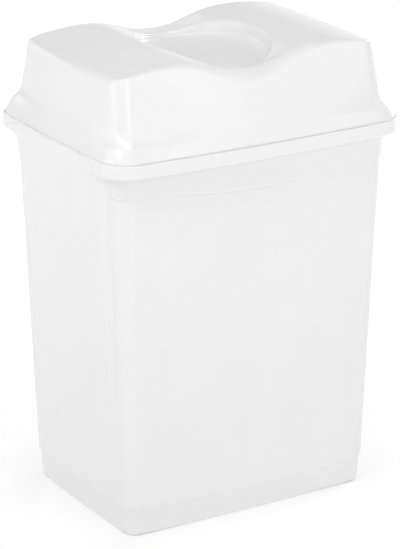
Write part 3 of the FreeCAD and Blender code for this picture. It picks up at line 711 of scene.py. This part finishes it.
for o in (tub, lid):
    o.data.materials.clear()
tub.data.materials.append(shell_out)
tub.data.materials.append(shell_in)
lid.data.materials.append(lid_out)
lid.data.materials.append(lid_in)
for p in tub.data.polygons:
    p.material_index = 1 if p.index >= tub_inside_from else 0
for p in lid.data.polygons:
    p.material_index = 1 if p.index < lid_outside_from or p.index in lid_inner_cap else 0
for o in hinge_pieces:
    o.data.materials.clear()
    o.data.materials.append(shell_out if o.name.startswith("rim") else (lid_in if "pad" in o.name else lid_out))
for nm in ("hinge_pin_left", "hinge_pin_right"):
    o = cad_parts[nm]
    if o.material_slots:
        for s in o.material_slots:
            s.material = pin_mat
    else:
        o.data.materials.append(pin_mat)

# ------------------------------------------------------------------ camera
az, el, dist = math.radians(-31.26), math.radians(19.61), 2.8945
tgt = Vector((0.00028, 0.0, 0.23487))
back = Vector((math.sin(az) * math.cos(el), -math.cos(az) * math.cos(el), math.sin(el)))
cam_data = bpy.data.cameras.new("camera")
cam = bpy.data.objects.new("camera", cam_data)
bpy.context.scene.collection.objects.link(cam)
cam.location = tgt + back * dist
cam.rotation_euler = (-back).to_track_quat("-Z", "Y").to_euler()
cam_data.sensor_width = 36.0
cam_data.lens = 2695.4 * 36.0 / 549.0
cam_data.clip_end = 50.0
bpy.context.scene.camera = cam
bpy.context.scene.view_settings.view_transform = "Standard"
bpy.context.scene.view_settings.look = "None"

# ------------------------------------------------------------------ floor
bm = bmesh.new()
bmesh.ops.create_grid(bm, x_segments=24, y_segments=24, size=9.0)
me = bpy.data.meshes.new("floor")
bm.to_mesh(me)
bm.free()
floor = bpy.data.objects.new("floor", me)
bpy.context.scene.collection.objects.link(floor)
floor.location = (0, 0, -0.0002)
mat = bpy.data.materials.new("floor_white")
mat.use_nodes = True
nt = mat.node_tree
nt.nodes.clear()
out = nt.nodes.new("ShaderNodeOutputMaterial")
b = nt.nodes.new("ShaderNodeBsdfPrincipled")
tc = nt.nodes.new("ShaderNodeTexCoord").outputs["Object"]
ramp = nt.nodes.new("ShaderNodeValToRGB")
ramp.color_ramp.elements[0].color = (FLOOR_TONE * 0.985, FLOOR_TONE * 0.985, FLOOR_TONE * 0.985, 1)
ramp.color_ramp.elements[1].color = (FLOOR_TONE, FLOOR_TONE, FLOOR_TONE, 1)
nt.links.new(spots(nt, tc, 3.0, 2.0, 0.5, (0.3, 0.8, 0.1)), ramp.inputs["Fac"])
nt.links.new(ramp.outputs["Color"], b.inputs["Base Color"])
b.inputs["Roughness"].default_value = 0.28
b.inputs["IOR"].default_value = 1.35
b.inputs["Emission Color"].default_value = (1, 1, 1, 1)
# painted contact shadow: the glow fades softly towards the foot of the bin and is lowest right at the contact
sp = nt.nodes.new("ShaderNodeSeparateXYZ")
nt.links.new(tc, sp.inputs[0])
off = [arith(nt, "MAXIMUM", arith(nt, "SUBTRACT", arith(nt, "ABSOLUTE", sp.outputs[k], 0.0), half), 0.0)
       for k, half in (("X", 0.1310), ("Y", 0.0868))]
gap = arith(nt, "SQRT", arith(nt, "ADD", arith(nt, "MULTIPLY", off[0], off[0]),
                              arith(nt, "MULTIPLY", off[1], off[1])), 0.0)
gap = arith(nt, "MAXIMUM", arith(nt, "SUBTRACT", gap, 0.0125), 0.0)
# near is the painted contact shadow: less floor glow close to the foot and least right at the contact
near = arith(nt, "MULTIPLY", span(nt, gap, 0.0, 0.004, 0.62, 1.0), span(nt, gap, 0.0, 0.09, 0.90, 1.0))
far = span(nt, gap, 0.25, 1.6, 1.0, 1.20)
glow = nt.nodes.new("ShaderNodeMath")
glow.name = "glow_scale"
glow.operation = "MULTIPLY"
glow.inputs[1].default_value = FLOOR_GLOW
nt.links.new(arith(nt, "MULTIPLY", near, far), glow.inputs[0])
nt.links.new(glow.outputs[0], b.inputs["Emission Strength"])
nt.links.new(b.outputs[0], out.inputs[0])
floor.data.materials.append(mat)

# ------------------------------------------------------------------ light
world = bpy.data.worlds.new("studio")
bpy.context.scene.world = world
world.use_nodes = True
nt = world.node_tree
bg = nt.nodes["Background"]
tcw = nt.nodes.new("ShaderNodeTexCoord")
sep = nt.nodes.new("ShaderNodeSeparateXYZ")
nt.links.new(tcw.outputs["Generated"], sep.inputs[0])
up = arith(nt, "MAXIMUM", sep.outputs["Z"], 0.0)
rim_glow = arith(nt, "POWER", arith(nt, "SUBTRACT", 1.0, up), 9.0)
behind = arith(nt, "MAXIMUM", arith(nt, "ADD", arith(nt, "MULTIPLY", sep.outputs["X"], 0.515),
                                    arith(nt, "MULTIPLY", sep.outputs["Y"], 0.857)), 0.0)
backdrop = arith(nt, "MULTIPLY", arith(nt, "POWER", behind, 3.0), arith(nt, "POWER", arith(nt, "SUBTRACT", 1.0, up), 3.0))
level = arith(nt, "ADD", WORLD_EVEN, arith(nt, "ADD", arith(nt, "MULTIPLY", rim_glow, WORLD_HORIZON),
              arith(nt, "ADD", arith(nt, "MULTIPLY", backdrop, WORLD_BACK),
                    arith(nt, "MULTIPLY", arith(nt, "POWER", up, 2.0), WORLD_TOP))))
nt.links.new(level, bg.inputs["Strength"])
bg.inputs["Color"].default_value = (1, 1, 1, 1)

for nm, a_deg, e_deg, d, w, h, power in SOFTBOXES:
    if power <= 0:
        continue
    a_, e_ = math.radians(a_deg), math.radians(e_deg)
    way = Vector((math.sin(a_) * math.cos(e_), -math.cos(a_) * math.cos(e_), math.sin(e_)))
    ld = bpy.data.lights.new(nm, "AREA")
    ld.shape = "RECTANGLE"
    ld.size, ld.size_y = w, h
    ld.energy = power
    lo = bpy.data.objects.new(nm, ld)
    bpy.context.scene.collection.objects.link(lo)
    lo.location = Vector((0, 0, 0.25)) + way * d
    lo.rotation_euler = (-way).to_track_quat("-Z", "Y").to_euler()
    lo.visible_camera = False
